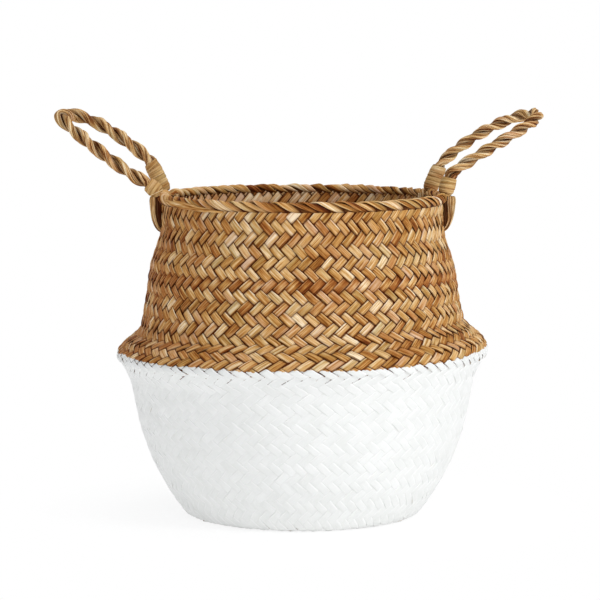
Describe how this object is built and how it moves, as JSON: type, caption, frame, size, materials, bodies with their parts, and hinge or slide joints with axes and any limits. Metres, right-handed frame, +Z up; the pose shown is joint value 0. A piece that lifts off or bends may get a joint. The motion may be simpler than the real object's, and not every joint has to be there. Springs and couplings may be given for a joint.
{
  "type": "woven belly basket planter",
  "caption": "Round belly basket plaited from flat seagrass splints, white painted lower half, folded belly, plaited rim and two twisted rope handles.",
  "frame": {"origin": "centre of the flat base, on the surface that the basket stands on", "axes": "+Z up, +X towards the right handle, +Y towards the back, so the pictured front faces -Y"},
  "size_m": [0.4249, 0.32, 0.3494],
  "materials": {
    "painted_splints": "matte white paint over plaited seagrass splints",
    "natural_splints": "dry golden seagrass splints, satin, darker in the gaps",
    "rim_splints": "dry seagrass splints folded over the rim",
    "rope": "two-strand seagrass rope, dry and fibrous",
    "wrapping_strip": "flat pale leaf strip wound tight, satin"
  },
  "bodies": {
    "basket": {"lower_wall": "painted_splints", "upper_wall": "natural_splints", "rim_border": "rim_splints", "left_front_tails": "rope", "left_back_tails": "rope", "right_front_tails": "rope", "right_back_tails": "rope"},
    "handle_left": {"left_strand_a": "rope", "left_strand_b": "rope", "left_front_sleeve": "wrapping_strip", "left_back_sleeve": "wrapping_strip"},
    "handle_right": {"right_strand_a": "rope", "right_strand_b": "rope", "right_front_sleeve": "wrapping_strip", "right_back_sleeve": "wrapping_strip"}
  },
  "joints": [
    {"name": "left_handle_swing", "type": "hinge", "parent": "basket", "child": "handle_left", "pos_m": [-0.1244, 0.01012, 0.281], "axis": [-0.0811, -0.9967, 0], "range_deg": [-100, 35]},
    {"name": "right_handle_swing", "type": "hinge", "parent": "basket", "child": "handle_right", "pos_m": [0.11883, 0.02288, 0.281], "axis": [-0.1891, 0.982, 0], "range_deg": [-100, 35]}
  ]
}
